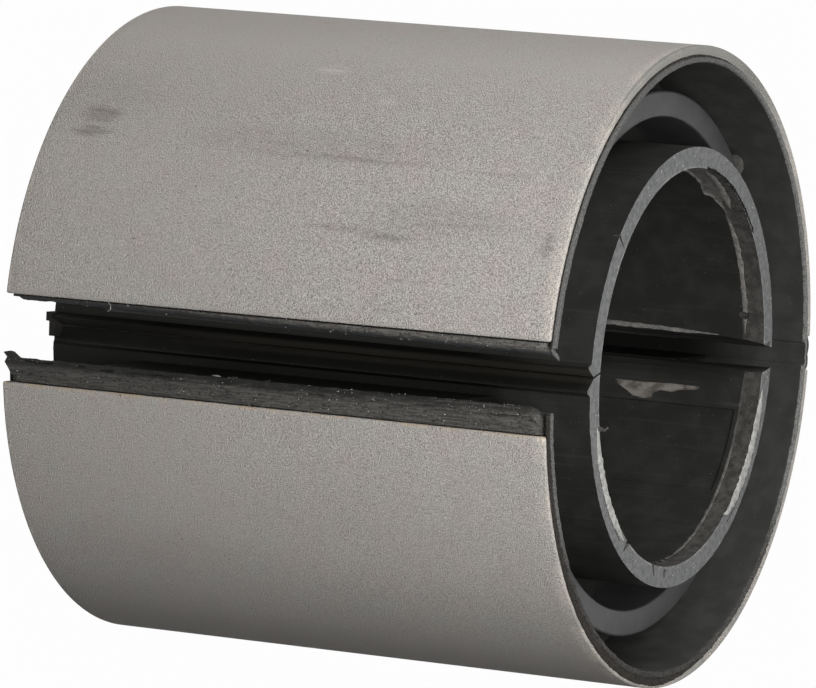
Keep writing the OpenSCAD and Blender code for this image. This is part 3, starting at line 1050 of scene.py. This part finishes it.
def make_crumb_tree():
    """Strews small uneven grains over the faces that have the surface finish."""
    tree = bpy.data.node_groups.new("crumbs", "GeometryNodeTree")
    link = tree.links.new
    sockets = (
        ("Geometry", "Geometry"), ("Surface finish", "Material"), ("Crumbs per square metre", "Float"),
        ("Clusters per metre", "Float"), ("Smallest radius", "Float"), ("Largest radius", "Float"),
        ("Seed", "Int"), ("Crumb finish", "Material"),
    )
    for name, kind in sockets:
        tree.interface.new_socket(name, in_out="INPUT", socket_type="NodeSocket" + kind)
    tree.interface.new_socket("Crumbs", in_out="OUTPUT", socket_type="NodeSocketGeometry")
    given = tree.nodes.new("NodeGroupInput").outputs
    chosen = tree.nodes.new("GeometryNodeMaterialSelection")
    link(given["Surface finish"], chosen.inputs["Material"])
    strewn = tree.nodes.new("GeometryNodeDistributePointsOnFaces")
    link(given["Geometry"], strewn.inputs["Mesh"])
    link(chosen.outputs["Selection"], strewn.inputs["Selection"])
    spots = tree.nodes.new("ShaderNodeTexNoise")
    link(given["Clusters per metre"], spots.inputs["Scale"])
    cluster = share(tree, spots.outputs["Fac"], 0.42, 0.65)
    link(all_of(tree, cluster, given["Crumbs per square metre"]), strewn.inputs["Density"])
    link(given["Seed"], strewn.inputs["Seed"])
    crumb = tree.nodes.new("GeometryNodeMeshIcoSphere")
    crumb.inputs["Radius"].default_value = 1.0
    crumb.inputs["Subdivisions"].default_value = 1
    size = tree.nodes.new("FunctionNodeRandomValue")
    size.data_type = "FLOAT_VECTOR"
    link(given["Smallest radius"], size.inputs["Min"])
    link(given["Largest radius"], size.inputs["Max"])
    link(given["Seed"], size.inputs["Seed"])
    laid = tree.nodes.new("GeometryNodeInstanceOnPoints")
    link(strewn.outputs["Points"], laid.inputs["Points"])
    link(strewn.outputs["Rotation"], laid.inputs["Rotation"])
    link(crumb.outputs["Mesh"], laid.inputs["Instance"])
    link(size.outputs["Value"], laid.inputs["Scale"])
    real = tree.nodes.new("GeometryNodeRealizeInstances")
    link(laid.outputs["Instances"], real.inputs["Geometry"])
    finished = tree.nodes.new("GeometryNodeSetMaterial")
    link(real.outputs["Geometry"], finished.inputs["Geometry"])
    link(given["Crumb finish"], finished.inputs["Material"])
    result = tree.nodes.new("NodeGroupOutput")
    link(finished.outputs["Geometry"], result.inputs["Crumbs"])
    return tree


def strew(name, values):
    """A piece made of the crumbs that the tree strews over the rubber, with its inputs by name."""
    piece = bpy.data.objects.new(name, rubber_body.data.copy())
    bpy.context.collection.objects.link(piece)
    scatter = piece.modifiers.new("crumbs", "NODES")
    scatter.node_group = crumb_tree
    for item in crumb_tree.interface.items_tree:
        if item.name in values:
            scatter[item.identifier] = values[item.name]
    graph = bpy.context.evaluated_depsgraph_get()
    mesh = bpy.data.meshes.new_from_object(piece.evaluated_get(graph))
    piece.modifiers.remove(scatter)
    piece.data = mesh
    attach(piece, "root")


def make_grit():
    finish, tree, shader = new_finish("grit", 0.8, 0.1)
    colour = spotted(tree, (0.16, 0.155, 0.145), (0.5, 0.48, 0.45), 0.8, 0.35, 0.65, detail=1.0)
    paint(tree, shader, colour)
    return finish


crumb_tree = make_crumb_tree()
grit_finish = make_grit()
strew("lip_crumbs", {
    "Surface finish": rubber_finishes[TORN], "Crumbs per square metre": 8e5, "Clusters per metre": 220.0,
    "Smallest radius": 0.02 * MM, "Largest radius": 0.12 * MM, "Seed": 4, "Crumb finish": grit_finish,
})
strew("ring_crumbs", {
    "Surface finish": rubber_finishes[TRIMMED], "Crumbs per square metre": 5e5, "Clusters per metre": 120.0,
    "Smallest radius": 0.02 * MM, "Largest radius": 0.13 * MM, "Seed": 9, "Crumb finish": grit_finish,
})

# Floor, light and camera
# The bushing stands on a pale floor in soft light from the front, the top and the back.
# The camera is turned on its side, so that the axis of the bore runs across the picture.
bpy.context.scene.view_settings.view_transform = "Standard"

bpy.ops.mesh.primitive_plane_add(size=8)
floor = bpy.context.object
floor.name = "floor"


def seen_directly(tree):
    """1 for rays from the camera, a mirror or a glass, and 0 for the light on the object."""
    path = tree.nodes.new("ShaderNodeLightPath")
    seen = reckon(tree, "ADD", path.outputs["Is Camera Ray"], path.outputs["Is Glossy Ray"])
    return reckon(tree, "MINIMUM", reckon(tree, "ADD", seen, path.outputs["Is Transmission Ray"]), 1.0)


floor_finish = bpy.data.materials.new("pale_floor")
floor_finish.use_nodes = True
tree = floor_finish.node_tree
paper = tree.nodes["Principled BSDF"]
paper.inputs["Base Color"].default_value = (0.06, 0.06, 0.06, 1)
paper.inputs["Roughness"].default_value = 0.9
glow = tree.nodes.new("ShaderNodeEmission")
mix = tree.nodes.new("ShaderNodeMixShader")
white_share = 0.985
tree.links.new(all_of(tree, seen_directly(tree), white_share), mix.inputs[0])
tree.links.new(paper.outputs[0], mix.inputs[1])
tree.links.new(glow.outputs[0], mix.inputs[2])
tree.links.new(mix.outputs[0], tree.nodes["Material Output"].inputs["Surface"])
floor.data.materials.append(floor_finish)

world = bpy.data.worlds.new("studio")
world.use_nodes = True
bpy.context.scene.world = world
tree = world.node_tree
sky = tree.nodes["Background"]
sky.inputs["Color"].default_value = (1, 1, 1, 1)
room_light = 0.02
tree.links.new(any_of(tree, seen_directly(tree), room_light), sky.inputs["Strength"])

middle = Vector((0, 0, length / 2 * MM))


def towards(azimuth, elevation):
    """The direction from the part to a place seen at that azimuth and elevation, in degrees."""
    turn = math.radians(azimuth)
    rise = math.radians(elevation)
    return Vector((math.sin(turn) * math.cos(rise), -math.cos(turn) * math.cos(rise), math.sin(rise)))


def softbox(name, azimuth, elevation, distance, size, watts, glints=True):
    lamp = bpy.data.lights.new(name, "AREA")
    lamp.shape = "DISK"
    lamp.size = size
    lamp.energy = watts
    holder = bpy.data.objects.new(name, lamp)
    bpy.context.collection.objects.link(holder)
    holder.location = middle + distance * towards(azimuth, elevation)
    holder.rotation_euler = (-towards(azimuth, elevation)).to_track_quat("-Z", "Y").to_euler()
    holder.visible_glossy = glints


softbox("front_light", -3, 43, 0.41, 0.24, 2.12)
softbox("top_light", -95, 30, 0.7, 0.5, 3.3)
softbox("back_light", 165, 12, 0.8, 0.5, 2.6, False)

aim = Vector((0.53, 0, 44.24)) * MM
roll = math.radians(95.6)
camera_distance = 1.0349
lens = bpy.data.cameras.new("camera")
lens.lens = 294.8
lens.sensor_width = 36
lens.sensor_fit = "HORIZONTAL"
camera = bpy.data.objects.new("camera", lens)
bpy.context.collection.objects.link(camera)
view = towards(-5.01, 26.05)
camera.location = aim + camera_distance * view
camera.rotation_mode = "QUATERNION"
camera.rotation_quaternion = (-view).to_track_quat("-Z", "Y") @ Quaternion((0, 0, 1), roll)
bpy.context.scene.camera = camera
